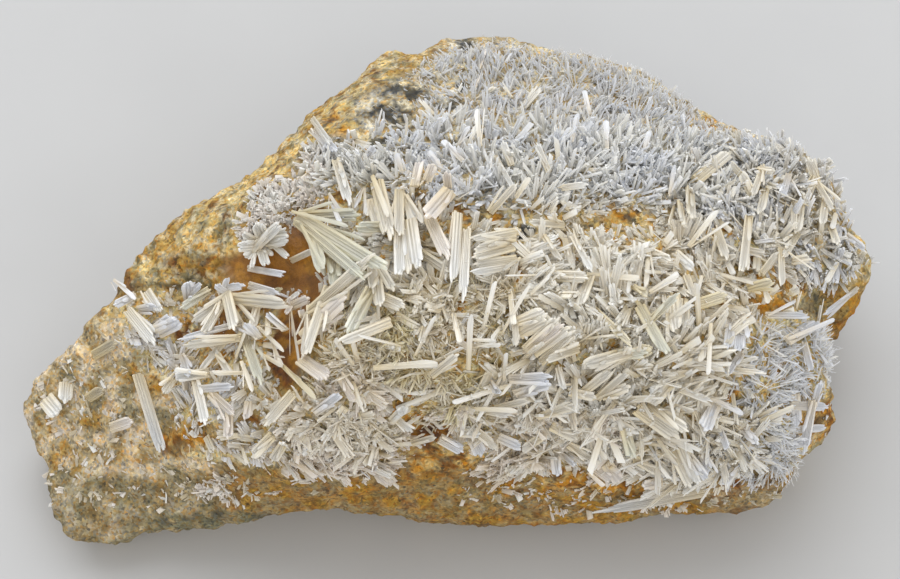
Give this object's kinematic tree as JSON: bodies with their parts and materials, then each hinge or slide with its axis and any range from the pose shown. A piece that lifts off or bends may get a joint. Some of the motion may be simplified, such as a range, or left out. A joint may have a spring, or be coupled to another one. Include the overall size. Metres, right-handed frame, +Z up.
{
  "type": "cerussite mineral specimen on matrix",
  "caption": "Loose lump of limonite-stained sandy rock, its top covered by a jackstraw crust of white to cream cerussite laths and needles, lying on a flat underside.",
  "frame": {"origin": "point of the flat underside below the middle of the specimen", "axes": "+X along the specimen to its blunt right-hand end, +Z up out of the crystal crust, -Y towards the viewer of the picture"},
  "size_m": [0.1201, 0.0735, 0.0524],
  "materials": {
    "rock": "rough sandy limonite-stained rock, matt",
    "cerussite": "translucent white to cream crystal with an adamantine to silky lustre"
  },
  "bodies": {
    "root": {"matrix_rock": "rock", "cerussite_crust": "cerussite", "hollow_lath_left": "cerussite", "hollow_lath_right": "cerussite", "hollow_lath_low": "cerussite", "lobe_blade": "cerussite", "lobe_lath_high": "cerussite", "lobe_lath_middle": "cerussite", "lobe_lath_low": "cerussite", "front_lath": "cerussite", "tip_grain_high": "cerussite", "tip_grain_low": "cerussite", "rim_rosette": "cerussite", "edge_lath_pair": "cerussite"}
  },
  "joints": []
}
